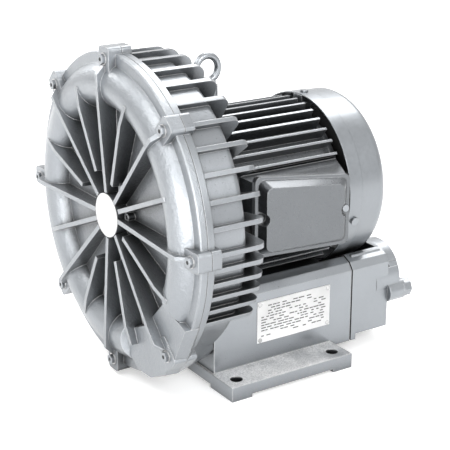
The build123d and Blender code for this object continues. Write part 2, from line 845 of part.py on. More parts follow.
with BuildPart() as rear_manifold:
    with BuildSketch(floor_station(gasket_rear_y)):
        with BuildLine():
            Polyline(*shoulder_outline, close=True)
        make_face()
    extrude(amount=-manifold_length)
    with BuildSketch(floor_station(gasket_rear_y + manifold_flange)):
        with Locations((0, base_bottom)):
            Rectangle(2 * base_half_width, 2 * (manifold_bottom - base_bottom))
    extrude(amount=-manifold_length, mode=Mode.SUBTRACT)
    with BuildSketch(floor_station(outlet_face_y)):
        with Locations((-outlet_x, outlet_z), (outlet_x, outlet_z)):
            Circle(outlet_boss_radius)
    extrude(amount=2 * outlet_boss_length)
    with BuildSketch(floor_station(outlet_face_y + plug_boss_length)):
        with Locations((plug_x, plug_z)):
            Circle(plug_boss_radius)
    extrude(amount=plug_boss_length + outlet_boss_length)
    # Two ridges along each sloping shoulder.
    with BuildSketch(floor_station(gasket_rear_y + manifold_flange + ridge_length)):
        for side in (-1, 1):
            for share in ridge_shares:
                ridge_x = base_half_width + share * (rear_shoulder_x - base_half_width)
                ridge_z = shoulder_low + share * (rear_shoulder_top - shoulder_low)
                with Locations((side * ridge_x, ridge_z)):
                    Circle(ridge_radius)
    extrude(amount=ridge_length)
    with BuildSketch(station(gasket_rear_y)):
        Circle(cowl_scoop_radius)
    extrude(amount=manifold_scoop_length, mode=Mode.SUBTRACT)
    with BuildSketch(floor_station(gasket_rear_y)):
        with BuildLine():
            Polyline(*chamber_outline, close=True)
        make_face()
        mirror(about=Plane.YZ)
    extrude(amount=-(outlet_face_y - outlet_bore_length - gasket_rear_y), mode=Mode.SUBTRACT)
    with BuildSketch(floor_station(outlet_face_y)):
        with Locations((-outlet_x, outlet_z), (outlet_x, outlet_z)):
            Circle(outlet_bore_radius)
    extrude(amount=outlet_bore_length, mode=Mode.SUBTRACT)
    with BuildSketch(floor_station(gasket_rear_y)):
        with Locations(*manifold_screw_places):
            Circle(manifold_screw_radius + screw_gap)
    extrude(amount=-manifold_length, mode=Mode.SUBTRACT)
    with BuildSketch(floor_station(manifold_rear_y)):
        with Locations(*manifold_screw_places):
            Circle(manifold_pocket_radius)
    extrude(amount=-outlet_boss_length, mode=Mode.SUBTRACT)
save("rear_manifold", rear_manifold)

with BuildPart() as manifold_screws:
    with BuildSketch(floor_station(manifold_rear_y)):
        with Locations(*manifold_screw_places):
            RegularPolygon(manifold_head_width / 2, 6, major_radius=False)
    extrude(amount=-manifold_head_height)
    with BuildSketch(floor_station(manifold_rear_y)):
        with Locations(*manifold_screw_places):
            Circle(manifold_screw_radius)
    extrude(amount=manifold_length + manifold_gasket + manifold_screw_grip)
save("manifold_screws", manifold_screws)

plug_seat_y = outlet_face_y + plug_boss_length
with BuildPart() as port_plug:
    with BuildSketch(floor_station(plug_seat_y)):
        with Locations((plug_x, plug_z)):
            Circle(plug_boss_radius)
    extrude(amount=-plug_collar_length)
    with BuildSketch(floor_station(plug_seat_y)):
        with Locations((plug_x, plug_z)):
            RegularPolygon(plug_width / 2, 8, major_radius=False)
    extrude(amount=-plug_length)
    with BuildSketch(floor_station(plug_seat_y + plug_length)):
        with Locations((plug_x, plug_z)):
            Circle(plug_width / 2 - 1.5 * plug_recess)
    extrude(amount=plug_recess, mode=Mode.SUBTRACT)
save("port_plug", port_plug)

# ---- Motor frame: flange, bearing housing, finned barrel --------------------------------------
spigot_front_y = casing_floor_y + casing_rear_wall + 0.5
seal_rear_y = spigot_front_y + seal_width
front_bearing_rear_y = seal_rear_y + front_bearing_width
motor_flange_y = motor_boss_y + motor_flange_thickness
frame_rear_y = motor_flange_y + frame_length
fin_front_y = motor_flange_y + fin_end_gap
fin_rear_y = frame_rear_y - 2
fin_clocks = [fin_pitch * (number + 0.5) for number in range(-fins_per_side, fins_per_side)]
# No fins where the terminal box sits.
fin_clocks = [clock for clock in fin_clocks if not box_fins_from < clock < box_fins_to]

with BuildPart() as motor_frame:
    with BuildSketch(shaft_plane):
        with BuildLine():
            Polyline(
                (seal_radius, spigot_front_y),
                (spigot_radius - spigot_gap, spigot_front_y),
                (spigot_radius - spigot_gap, motor_boss_y),
                (motor_flange_radius, motor_boss_y),
                (motor_flange_radius, motor_flange_y),
                (frame_radius, motor_flange_y),
                (frame_radius, frame_rear_y),
                (frame_bore, frame_rear_y),
                (frame_bore, motor_flange_y),
                (front_bearing_radius, motor_flange_y),
                (front_bearing_radius, seal_rear_y),
                (seal_radius, seal_rear_y),
                close=True,
            )
        make_face()
    revolve(axis=shaft_axis)
    for clock in fin_clocks:
        with BuildSketch(station(fin_rear_y)):
            with PolarLocations(
                (frame_radius + fin_radius) / 2 - 0.5, 1, start_angle=start_angle(clock)
            ):
                Rectangle(fin_radius - frame_radius + 1, fin_thickness)
        extrude(amount=fin_rear_y - fin_front_y)
    # Seat of the terminal box.
    with BuildSketch(floor_station(box_seat_rear_y)):
        with Locations(((box_seat_x + frame_radius * 0.7) / 2, (box_seat_low + box_seat_high) / 2)):
            Rectangle(box_seat_x - frame_radius * 0.7, box_seat_high - box_seat_low)
    extrude(amount=box_seat_rear_y - box_front_y)
    # Boss of the lifting eye, with a web to the flange.
    with BuildSketch(Plane.XY.offset(eye_seat_z)):
        with Locations((0, eye_y)):
            Circle(eye_boss_radius)
    extrude(amount=shaft_height + frame_bore + 4 - eye_seat_z)
    with BuildSketch(Plane.YZ):
        with BuildLine():
            Polyline(
                (motor_flange_y, shaft_height + frame_radius - 2),
                (motor_flange_y, shaft_height + motor_flange_radius - 4),
                (eye_y, eye_seat_z - 4),
                (eye_y, shaft_height + frame_radius - 2),
                close=True,
            )
        make_face()
    extrude(amount=eye_web_thickness / 2, both=True)
    # The flange is cut off level where the base stands under it.
    with BuildSketch(floor_station(motor_boss_y)):
        with Locations((0, base_top / 2)):
            Rectangle(2 * motor_flange_radius, base_top)
    extrude(amount=-motor_flange_thickness, mode=Mode.SUBTRACT)
    # Foot of the barrel on the base.
    with BuildSketch(Plane.XY.offset(base_top)):
        with Locations((0, support_middle_y)):
            Rectangle(2 * support_half_width, support_length)
    extrude(amount=shaft_height - frame_radius + 12 - base_top)
    with BuildSketch(station(frame_rear_y)):
        Circle(frame_bore)
    extrude(amount=frame_length, mode=Mode.SUBTRACT)
    with BuildSketch(Plane.XY.offset(eye_seat_z)):
        with Locations((0, eye_y)):
            Circle(screw_radius + screw_gap)
    extrude(amount=-eye_shank_length - 1, mode=Mode.SUBTRACT)
    with BuildSketch(station(motor_flange_y)):
        with PolarLocations(motor_screw_circle, 4, start_angle=45):
            Circle(screw_radius + screw_gap)
    extrude(amount=motor_flange_thickness, mode=Mode.SUBTRACT)
    with BuildSketch(station(frame_rear_y)):
        with PolarLocations(shield_screw_circle, 4, start_angle=45):
            Circle(shield_screw_radius + screw_gap)
    extrude(amount=shield_screw_grip, mode=Mode.SUBTRACT)
save("motor_frame", motor_frame)

with BuildPart() as motor_screws:
    with BuildSketch(station(motor_flange_y)):
        with PolarLocations(motor_screw_circle, 4, start_angle=45):
            RegularPolygon(screw_head_width / 2, 6, major_radius=False)
    extrude(amount=-screw_head_height)
    with BuildSketch(station(motor_flange_y)):
        with PolarLocations(motor_screw_circle, 4, start_angle=45):
            Circle(screw_radius)
    extrude(amount=screw_grip)
save("motor_screws", motor_screws)

# ---- Eye bolt ---------------------------------------------------------------------------------
eye_centre_z = eye_seat_z + eye_ring_radius + eye_bar_radius
with BuildPart() as eye_bolt:
    with BuildSketch(Plane.XY.offset(eye_seat_z)):
        with Locations((0, eye_y)):
            Circle(eye_collar_radius)
    extrude(amount=eye_collar_height)
    with BuildSketch(Plane.XY.offset(eye_seat_z)):
        with Locations((0, eye_y)):
            Circle(screw_radius)
    extrude(amount=-eye_shank_length)
    with BuildSketch(Plane(origin=(0, eye_y, eye_centre_z), x_dir=(0, 0, 1), z_dir=(0, 1, 0))):
        with Locations((eye_ring_radius, 0)):
            Circle(eye_bar_radius)
    revolve(axis=Axis((0, eye_y, eye_centre_z), (1, 0, 0)))
save("eye_bolt", eye_bolt)

# ---- Bearings and shaft seal ------------------------------------------------------------------
with BuildPart() as shaft_seal:
    with BuildSketch(station(seal_rear_y)):
        Circle(seal_radius)
        Circle(shaft_radius + bearing_gap, mode=Mode.SUBTRACT)
    extrude(amount=seal_width)
save("shaft_seal", shaft_seal)

with BuildPart() as front_bearing:
    with BuildSketch(station(front_bearing_rear_y)):
        Circle(front_bearing_radius)
        Circle(shaft_radius + bearing_gap, mode=Mode.SUBTRACT)
    extrude(amount=front_bearing_width)
save("front_bearing", front_bearing)

rear_bearing_y = frame_rear_y - 4
rear_bearing_rear_y = rear_bearing_y + rear_bearing_width
with BuildPart() as rear_bearing:
    with BuildSketch(station(rear_bearing_rear_y)):
        Circle(rear_bearing_radius)
        Circle(rear_shaft_radius + bearing_gap, mode=Mode.SUBTRACT)
    extrude(amount=rear_bearing_width)
save("rear_bearing", rear_bearing)

# ---- Stator -----------------------------------------------------------------------------------
core_front_y = (motor_flange_y + frame_rear_y - core_length) / 2
core_rear_y = core_front_y + core_length
with BuildPart() as stator_core:
    with BuildSketch(station(core_rear_y)):
        Circle(frame_bore)
        Circle(rotor_core_radius + rotor_gap, mode=Mode.SUBTRACT)
    extrude(amount=core_length)
save("stator_core", stator_core)

with BuildPart() as stator_windings:
    with BuildSketch(shaft_plane):
        with Locations(
            ((winding_inner + winding_outer) / 2, core_front_y - winding_length / 2),
            ((winding_inner + winding_outer) / 2, core_rear_y + winding_length / 2),
        ):
            RectangleRounded(winding_outer - winding_inner, winding_length, winding_corner)
    revolve(axis=shaft_axis)
save("stator_windings", stator_windings)

# ---- Rear end shield with three ears for the cowl ---------------------------------------------
cowl_inner_radius = cowl_radius - cowl_wall
shield_rear_y = frame_rear_y + shield_thickness
with BuildPart() as rear_shield:
    with BuildSketch(station(ear_rear_y)):
        for clock in cowl_screw_clocks:
            with PolarLocations(
                (frame_radius - 10 + cowl_inner_radius + 4) / 2, 1, start_angle=start_angle(clock)
            ):
                Rectangle(cowl_inner_radius + 4 - frame_radius + 10, ear_width)
    extrude(amount=ear_rear_y - cowl_front_y)
    with BuildSketch(station(ear_rear_y)):
        Circle(cowl_inner_radius)
    extrude(amount=ear_rear_y - cowl_front_y, mode=Mode.INTERSECT)
    with BuildSketch(shaft_plane):
        with BuildLine():
            Polyline(
                (rear_bearing_radius, rear_bearing_y - 2),
                (shield_hub_radius, rear_bearing_y - 2),
                (shield_hub_radius, frame_rear_y),
                (frame_radius, frame_rear_y),
                (frame_radius, shield_rear_y),
                (shield_hub_radius, shield_rear_y),
                (shield_hub_radius, rear_bearing_rear_y + 3),
                (rear_shaft_radius + 3, rear_bearing_rear_y + 3),
                (rear_shaft_radius + 3, rear_bearing_rear_y),
                (rear_bearing_radius, rear_bearing_rear_y),
                close=True,
            )
        make_face()
    revolve(axis=shaft_axis)
    with BuildSketch(station(shield_rear_y)):
        with PolarLocations(shield_screw_circle, 4, start_angle=45):
            Circle(shield_screw_radius + screw_gap)
    extrude(amount=shield_thickness, mode=Mode.SUBTRACT)
    for clock in cowl_screw_clocks:
        with BuildSketch(cowl_screw_plane(clock)):
            Circle(cowl_screw_radius + screw_gap)
        extrude(amount=-cowl_screw_grip - 1, mode=Mode.SUBTRACT)
save("rear_shield", rear_shield)

with BuildPart() as shield_screws:
    with BuildSketch(station(shield_rear_y)):
        with PolarLocations(shield_screw_circle, 4, start_angle=45):
            Circle(1.75 * shield_screw_radius)
    extrude(amount=-2 * shield_screw_radius)
    with BuildSketch(station(shield_rear_y)):
        with PolarLocations(shield_screw_circle, 4, start_angle=45):
            Circle(shield_screw_radius)
    extrude(amount=shield_screw_grip)
save("shield_screws", shield_screws)

# ---- Fan cowl ---------------------------------------------------------------------------------
cowl_band_rear_y = cowl_front_y + cowl_band_length
cowl_body_radius = cowl_radius - cowl_step
inner_corner = cowl_corner - cowl_wall
with BuildPart() as fan_cowl:
    with BuildSketch(shaft_plane):
        with BuildLine():
            Polyline(
                (0, cowl_rear_y - cowl_wall),
                (0, cowl_rear_y),
                (cowl_body_radius - cowl_corner, cowl_rear_y),
            )
            RadiusArc(
                (cowl_body_radius - cowl_corner, cowl_rear_y),
                (cowl_body_radius, cowl_rear_y - cowl_corner),
                cowl_corner,
            )
            Polyline(
                (cowl_body_radius, cowl_rear_y - cowl_corner),
                (cowl_body_radius, cowl_band_rear_y),
                (cowl_radius, cowl_band_rear_y),
                (cowl_radius, cowl_front_y),
                (cowl_inner_radius, cowl_front_y),
                (cowl_inner_radius, cowl_band_rear_y - cowl_wall),
                (cowl_body_radius - cowl_wall, cowl_band_rear_y - cowl_wall),
                (cowl_body_radius - cowl_wall, cowl_rear_y - cowl_corner),
            )
            RadiusArc(
                (cowl_body_radius - cowl_wall, cowl_rear_y - cowl_corner),
                (cowl_body_radius - cowl_corner, cowl_rear_y - cowl_wall),
                -inner_corner,
            )
            Line(
                (cowl_body_radius - cowl_corner, cowl_rear_y - cowl_wall),
                (0, cowl_rear_y - cowl_wall),
            )
        make_face()
    revolve(axis=shaft_axis)
    # Air inlet: two rows of radial slots.
    with BuildSketch(station(cowl_rear_y)):
        for row, (slot_inner, slot_outer) in enumerate(grille_slot_rows):
            with PolarLocations((slot_inner + slot_outer) / 2, grille_slots // (2 - row)):
                Rectangle(slot_outer - slot_inner, grille_slot_width)
    extrude(amount=cowl_wall, mode=Mode.SUBTRACT)
    for clock in cowl_screw_clocks:
        with BuildSketch(cowl_screw_plane(clock)):
            Circle(cowl_screw_radius + screw_gap)
        extrude(amount=-2 * cowl_wall, mode=Mode.SUBTRACT)
save("fan_cowl", fan_cowl)

with BuildPart() as cowl_screws:
    for clock in cowl_screw_clocks:
        with BuildSketch(cowl_screw_plane(clock)):
            Circle(1.9 * cowl_screw_radius)
        extrude(amount=cowl_screw_radius)
        with BuildSketch(cowl_screw_plane(clock)):
            Circle(cowl_screw_radius)
        extrude(amount=-cowl_screw_grip)
save("cowl_screws", cowl_screws)

# ---- Rotor: shaft, rotor core, fan, impeller --------------------------------------------------
impeller_hub_front_y = impeller_front_y - 2
impeller_hub_rear_y = impeller_rear_y + 2
nut_front_y = impeller_hub_front_y - washer_thickness - nut_height
fan_front_y = ear_rear_y + 2
fan_rear_y = fan_front_y + fan_width
with BuildPart() as motor_shaft:
    with BuildSketch(shaft_plane):
        with BuildLine():
            Polyline(
                (0, nut_front_y - 0.5),
                (hub_bore_radius, nut_front_y - 0.5),
                (hub_bore_radius, impeller_hub_rear_y),
                (shaft_radius, impeller_hub_rear_y),
                (shaft_radius, front_bearing_rear_y + rotor_gap),
                (core_seat_radius, front_bearing_rear_y + rotor_gap),
                (core_seat_radius, rear_bearing_y - rotor_gap),
                (rear_shaft_radius, rear_bearing_y - rotor_gap),
                (rear_shaft_radius, fan_rear_y + 4),
                (0, fan_rear_y + 4),
                close=True,
            )
        make_face()
    revolve(axis=shaft_axis)
    with BuildSketch(station(impeller_hub_front_y + 4)):
        with Locations((0, hub_bore_radius)):
            Rectangle(key_width, key_height)
    extrude(amount=-key_length, mode=Mode.SUBTRACT)
save("motor_shaft", motor_shaft)

with BuildPart() as impeller_key:
    with BuildSketch(station(impeller_hub_front_y + 4)):
        with Locations((0, hub_bore_radius)):
            Rectangle(key_width, key_height)
    extrude(amount=-key_length)
save("impeller_key", impeller_key)

with BuildPart() as rotor_core:
    with BuildSketch(station(core_rear_y)):
        Circle(rotor_core_radius)
    extrude(amount=core_length)
    with BuildSketch(station(core_rear_y + end_ring_length)):
        Circle(rotor_core_radius - 1)
        Circle(end_ring_inner, mode=Mode.SUBTRACT)
    extrude(amount=core_length + 2 * end_ring_length)
    with BuildSketch(station(core_rear_y)):
        Circle(core_seat_radius)
    extrude(amount=core_length, mode=Mode.SUBTRACT)
save("rotor_core", rotor_core)

with BuildPart() as cooling_fan:
    with BuildSketch(station(fan_rear_y)):
        Circle(rear_shaft_radius + 8)
    extrude(amount=fan_width)
    with BuildSketch(station(fan_front_y)):
        Circle(fan_disc_radius)
    extrude(amount=-fan_plate)
    with BuildSketch(station(fan_rear_y)):
        with PolarLocations((rear_shaft_radius + 5 + fan_radius) / 2, fan_blades, start_angle=90):
            Rectangle(fan_radius - rear_shaft_radius - 5, fan_plate)
    extrude(amount=fan_width)
    with BuildSketch(station(fan_rear_y)):
        Circle(rear_shaft_radius)
    extrude(amount=fan_width, mode=Mode.SUBTRACT)
save("cooling_fan", cooling_fan)

with BuildPart() as fan_clip:
    with BuildSketch(station(fan_rear_y)):
        Circle(rear_shaft_radius + 3)
        Circle(rear_shaft_radius, mode=Mode.SUBTRACT)
    extrude(amount=-clip_thickness)
save("fan_clip", fan_clip)

# The impeller's rim carries the blades on both sides of a thin web; each side faces a channel.
impeller_middle_y = (impeller_front_y + impeller_rear_y) / 2
with BuildPart() as impeller:
    with BuildSketch(shaft_plane):
        with BuildLine():
            Polyline(
                (hub_bore_radius, impeller_hub_front_y),
                (impeller_hub_radius, impeller_hub_front_y),
                (impeller_hub_radius, impeller_middle_y - impeller_disc / 2),
                (blade_root_radius - 8, impeller_middle_y - impeller_disc / 2),
                (blade_root_radius - 8, impeller_front_y),
                (blade_root_radius, impeller_front_y),
                (blade_root_radius + 9, impeller_middle_y - impeller_web / 2),
                (impeller_radius - 1, impeller_middle_y - impeller_web / 2),
                (impeller_radius - 1, impeller_middle_y + impeller_web / 2),
                (blade_root_radius + 9, impeller_middle_y + impeller_web / 2),
                (blade_root_radius, impeller_rear_y),
                (blade_root_radius - 8, impeller_rear_y),
                (blade_root_radius - 8, impeller_middle_y + impeller_disc / 2),
                (impeller_hub_radius, impeller_middle_y + impeller_disc / 2),
                (impeller_hub_radius, impeller_hub_rear_y),
                (hub_bore_radius, impeller_hub_rear_y),
                close=True,
            )
        make_face()
    revolve(axis=shaft_axis)
    with BuildSketch(station(impeller_rear_y)):
        with PolarLocations((blade_root_radius - 3 + impeller_radius) / 2, blade_count):
            Rectangle(impeller_radius - blade_root_radius + 3, blade_thickness)
    extrude(amount=impeller_width)
    with BuildSketch(station(impeller_hub_front_y + 4)):
        with Locations((0, hub_bore_radius)):
            Rectangle(key_width, key_height)
    extrude(amount=-key_length, mode=Mode.SUBTRACT)
save("impeller", impeller)

with BuildPart() as impeller_washer:
    with BuildSketch(station(impeller_hub_front_y)):
        Circle(impeller_hub_radius - 2)
        Circle(hub_bore_radius, mode=Mode.SUBTRACT)
    extrude(amount=washer_thickness)
save("impeller_washer", impeller_washer)

with BuildPart() as impeller_nut:
    with BuildSketch(station(impeller_hub_front_y - washer_thickness)):
        RegularPolygon(nut_width / 2, 6, major_radius=False)
        Circle(hub_bore_radius, mode=Mode.SUBTRACT)
    extrude(amount=nut_height)
save("impeller_nut", impeller_nut)

# ---- Terminal box -----------------------------------------------------------------------------
box_length = sqrt((box_rear_x - box_front_x) ** 2 + (box_rear_y - box_front_y) ** 2)
box_turn = degrees(atan2(box_rear_x - box_front_x, box_rear_y - box_front_y))


def box_plane(front_depth, rear_depth):
    """Plane over the box's face; x runs along its length and y is height above the floor."""
    turn = radians(box_turn) - atan2(front_depth - rear_depth, box_length)
    lift = (cos(radians(box_turn)), -sin(radians(box_turn)))
    return Plane(
        origin=(box_front_x + front_depth * lift[0], box_front_y + front_depth * lift[1], 0),
        x_dir=(sin(turn), cos(turn), 0),
        z_dir=(cos(turn), -sin(turn), 0),
    )


def box_outline_points(inset):
    """Corners of the box's face, drawn in by an inset."""
    rise = (box_rear_low - box_front_low) / box_length
    fall = (box_front_high - box_rear_high) / box_length
    near = inset
    far = box_length - inset
    return (
        (near, box_front_low + rise * near + inset),
        (far, box_front_low + rise * far + inset),
        (far, box_front_high - fall * far - inset),
        (near, box_front_high - fall * near - inset),
    )


def box_face_sketch(plane, inset, corner):
    """Rounded four-cornered face of the terminal box, as a sketch."""
    with BuildSketch(plane) as face:
        with BuildLine():
            Polyline(*box_outline_points(inset), close=True)
        make_face()
        fillet(face.vertices(), corner)
    return face.sketch


face_plane = box_plane(0, 0)
box_body_front_y = box_front_y + 2
box_screw_z = (box_front_low + box_front_high) / 2
box_screw_places = ((box_screw_inset, box_screw_z), (box_length - box_screw_inset, box_screw_z))
body_low = box_rear_low + 1
body_high = box_rear_high - 1

with BuildPart() as terminal_base:
    front_corner = face_plane.from_local_coords((3, 0, -1))
    rear_corner = face_plane.from_local_coords((box_length - 3, 0, -1))
    with BuildSketch(Plane.XY.offset(body_low)):
        with BuildLine():
            Polyline(
                (box_seat_x, box_body_front_y),
                (front_corner.X, box_body_front_y),
                (rear_corner.X, rear_corner.Y),
                (box_seat_x, box_seat_rear_y),
                close=True,
            )
        make_face()
    extrude(amount=body_high - body_low)
    extrude(box_face_sketch(face_plane, 0, box_corner), amount=-box_flange_thickness)
    with BuildSketch(Plane.XY.offset(body_low + box_wall)):
        with BuildLine():
            Polyline(
                (box_seat_x + box_wall, box_body_front_y + box_wall),
                (box_front_x + box_flange_thickness, box_body_front_y + box_wall),
                (box_rear_x + box_flange_thickness, box_rear_y - 2 * box_screw_inset),
                (box_seat_x + box_wall, box_seat_rear_y - 2 * box_wall),
                close=True,
            )
        make_face()
    extrude(amount=body_high - body_low - 2 * box_wall, mode=Mode.SUBTRACT)
    with BuildSketch(face_plane):
        with Locations(*box_screw_places):
            Circle(box_screw_boss)
    extrude(amount=-box_screw_grip - 3)
    with BuildSketch(face_plane):
        with Locations(*box_screw_places):
            Circle(box_screw_radius + screw_gap)
    extrude(amount=-box_screw_grip, mode=Mode.SUBTRACT)
    with BuildSketch(floor_station(box_body_front_y)):
        with Locations((conduit_x, conduit_z)):
            Circle(conduit_hole_radius + screw_gap)
    extrude(amount=-box_wall, mode=Mode.SUBTRACT)
save("terminal_base", terminal_base)

gasket_plane = box_plane(box_gasket, box_gasket)
plate_plane = box_plane(box_gasket + cover_plate_thickness, box_gasket + cover_plate_thickness)
pan_plane = box_plane(
    box_gasket + cover_plate_thickness + pan_front_depth,
    box_gasket + cover_plate_thickness + pan_rear_depth,
)

with BuildPart() as terminal_gasket:
    with BuildSketch(gasket_plane):
        with BuildLine():
            Polyline(*box_outline_points(0.5), close=True)
        make_face()
        with BuildLine():
            Polyline(*box_outline_points(2 * box_screw_inset), close=True)
        make_face(mode=Mode.SUBTRACT)
        with Locations(*box_screw_places):
            Circle(box_screw_radius + screw_gap, mode=Mode.SUBTRACT)
    extrude(amount=-box_gasket)
save("terminal_gasket", terminal_gasket)

# Lid of the terminal box: a flat rim, then a bevelled pan that is deeper towards the cover.
# The two screws sit in round seats cut into the ends of the pan.
lid_thickness = cover_plate_thickness
with BuildPart() as lid_hollow:
    loft(
        [
            box_face_sketch(gasket_plane, pan_wall_inset, box_corner).faces()[0],
            box_face_sketch(
                pan_plane.offset(-lid_thickness), pan_bevel + pan_wall_inset, box_corner
            ).faces()[0],
        ]
    )
    with BuildSketch(gasket_plane):
        with Locations(*box_screw_places):
            Circle(pan_notch + lid_thickness)
    extrude(amount=pan_front_depth + lid_thickness, mode=Mode.SUBTRACT)

with BuildPart() as terminal_cover:
    extrude(box_face_sketch(plate_plane, 0, box_corner), amount=-lid_thickness)
    loft(
        [
            box_face_sketch(plate_plane, pan_inset, box_corner).faces()[0],
            box_face_sketch(pan_plane, pan_inset + pan_bevel, box_corner).faces()[0],
        ]
    )
    with BuildSketch(plate_plane):
        with Locations(*box_screw_places):
            Circle(pan_notch)
    extrude(amount=pan_front_depth + lid_thickness, mode=Mode.SUBTRACT)
    add(lid_hollow.part, mode=Mode.SUBTRACT)
    with BuildSketch(plate_plane):
        with Locations(*box_screw_places):
            Circle(box_screw_radius + screw_gap)
    extrude(amount=-lid_thickness, mode=Mode.SUBTRACT)
save("terminal_cover", terminal_cover)

with BuildPart() as terminal_cover_screws:
    with BuildSketch(plate_plane):
        with Locations(*box_screw_places):
            Circle(box_screw_head_radius)
    extrude(amount=box_screw_head_height)
    with BuildSketch(plate_plane):
        with Locations(*box_screw_places):
            Circle(box_screw_radius)
    extrude(amount=-box_screw_grip)
save("terminal_cover_screws", terminal_cover_screws)

# Terminal board with two rows of three studs.
board_plane = Plane(
    origin=(box_seat_x + box_wall, (box_front_y + box_rear_y) / 2, box_screw_z),
    x_dir=(0, 1, 0),
    z_dir=(1, 0, 0),
)
with BuildPart() as terminal_block:
    with BuildSketch(board_plane):
        Rectangle(terminal_board_length, terminal_board_height)
    extrude(amount=terminal_board_thickness)
    with BuildSketch(board_plane.offset(terminal_board_thickness)):
        with GridLocations(terminal_board_length / 3, terminal_board_height / 2, 3, 2):
            Circle(terminal_stud_radius)
    extrude(amount=terminal_stud_length)
save("terminal_block", terminal_block)

with BuildPart() as conduit_plug:
    with BuildSketch(floor_station(box_body_front_y)):
        with Locations((conduit_x, conduit_z)):
            RegularPolygon(conduit_plug_width / 2, 6, major_radius=False)
    extrude(amount=conduit_plug_head)
    with BuildSketch(floor_station(box_body_front_y)):
        with Locations((conduit_x, conduit_z)):
            Circle(conduit_hole_radius)
    extrude(amount=-box_wall)
save("conduit_plug", conduit_plug)

# ---- Nameplate --------------------------------------------------------------------------------
with BuildPart() as nameplate:
    with BuildSketch(plate_face):
        Rectangle(plate_length, plate_height)
        with GridLocations(rivet_pitch_x, rivet_pitch_z, 2, 2):
            Circle(plate_rivet_radius + screw_gap, mode=Mode.SUBTRACT)
    extrude(amount=plate_thickness)
save("nameplate", nameplate)

with BuildPart() as nameplate_rivets:
    with BuildSketch(plate_face.offset(plate_thickness)):
        with GridLocations(rivet_pitch_x, rivet_pitch_z, 2, 2):
            Circle(1.6 * plate_rivet_radius)
    extrude(amount=0.5 * plate_rivet_radius)
    with BuildSketch(plate_face.offset(plate_thickness)):
        with GridLocations(rivet_pitch_x, rivet_pitch_z, 2, 2):
            Circle(plate_rivet_radius)
    extrude(amount=-plate_thickness - plate_rivet_grip)
save("nameplate_rivets", nameplate_rivets)
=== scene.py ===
import math
import random

import bmesh
import bpy
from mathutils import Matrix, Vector


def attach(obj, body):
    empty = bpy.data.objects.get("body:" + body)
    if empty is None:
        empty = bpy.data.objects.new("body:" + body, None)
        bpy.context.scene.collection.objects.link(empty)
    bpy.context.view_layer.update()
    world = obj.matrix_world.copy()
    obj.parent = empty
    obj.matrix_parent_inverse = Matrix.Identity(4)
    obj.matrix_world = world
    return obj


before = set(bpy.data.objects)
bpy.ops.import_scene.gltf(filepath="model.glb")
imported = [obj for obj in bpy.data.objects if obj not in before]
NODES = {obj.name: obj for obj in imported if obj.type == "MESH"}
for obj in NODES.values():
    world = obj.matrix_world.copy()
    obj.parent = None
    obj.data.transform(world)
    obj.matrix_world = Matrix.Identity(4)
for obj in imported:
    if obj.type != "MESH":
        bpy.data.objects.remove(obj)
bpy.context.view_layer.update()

MM = 0.001
SHAFT_HEIGHT = 188.0  # millimetres above the floor

# ---- Camera -----------------------------------------------------------------------------------
AZIMUTH = math.radians(57.0)
ELEVATION = math.radians(19.2)
DISTANCE = 1.420
TARGET = Vector((0.0201, -0.0165, 0.1563))
SENSOR = 36.0
FOCAL_PIXELS, PICTURE_PIXELS = 1258.0, 450.0
FOCAL = FOCAL_PIXELS / PICTURE_PIXELS * SENSOR
CLIP_START = 0.05

toward_camera = Vector((
    math.sin(AZIMUTH) * math.cos(ELEVATION),
    -math.cos(AZIMUTH) * math.cos(ELEVATION),
    math.sin(ELEVATION),
))
camera_data = bpy.data.cameras.new("camera")
camera_data.lens = FOCAL
camera_data.sensor_width = SENSOR
camera_data.sensor_fit = "HORIZONTAL"
camera_data.clip_start = CLIP_START
camera = bpy.data.objects.new("camera", camera_data)
bpy.context.scene.collection.objects.link(camera)
camera.location = TARGET + toward_camera * DISTANCE
camera.rotation_euler = (-toward_camera).to_track_quat("-Z", "Y").to_euler()
bpy.context.scene.camera = camera
bpy.context.scene.view_settings.view_transform = "Standard"


# ---- Node trees -------------------------------------------------------------------------------
class Tree:
    """Short ways to add nodes and links to a material, a group or the world."""

    def __init__(self, tree):
        self.tree = tree

    def node(self, kind, links=None, **values):
        made = self.tree.nodes.new(kind)
        for key, value in values.items():
            setattr(made, key, value)
        for socket, source in (links or {}).items():
            self.feed(made.inputs[socket], source)
        return made

    def feed(self, socket, source):
        if hasattr(source, "is_output"):
            self.tree.links.new(source, socket)
        else:
            socket.default_value = source

    def noise(self, vector, scale, detail=3.0, roughness=0.55):
        return self.node("ShaderNodeTexNoise", {
            "Vector": vector, "Scale": scale, "Detail": detail, "Roughness": roughness,
        }).outputs["Fac"]

    def spread(self, value, low, high, to_low=0.0, to_high=1.0, kind="LINEAR"):
        return self.node("ShaderNodeMapRange", {
            "Value": value, "From Min": low, "From Max": high, "To Min": to_low, "To Max": to_high,
        }, interpolation_type=kind).outputs["Result"]

    def math(self, operation, first, second=0.0):
        return self.node("ShaderNodeMath", {0: first, 1: second}, operation=operation).outputs[0]

    def dot(self, first, second):
        return self.node("ShaderNodeVectorMath", {0: first, 1: second},
                         operation="DOT_PRODUCT").outputs["Value"]

    def blend(self, share, first, second):
        mixed = self.node("ShaderNodeMix", data_type="RGBA")
        for socket, source in ((0, share), (6, first), (7, second)):
            self.feed(mixed.inputs[socket], source)
        return mixed.outputs[2]

    def bump(self, height, strength, distance, normal=None):
        links = {"Height": height, "Strength": strength, "Distance": distance}
        if normal is not None:
            links["Normal"] = normal
        return self.node("ShaderNodeBump", links).outputs["Normal"]

    def seen_rays(self):
        """1 for rays that show a surface to the eye, directly, mirrored or through glass."""
        paths = self.node("ShaderNodeLightPath").outputs
        return self.math("MAXIMUM", paths["Is Camera Ray"], self.math(
            "MAXIMUM", paths["Is Glossy Ray"], paths["Is Transmission Ray"]))


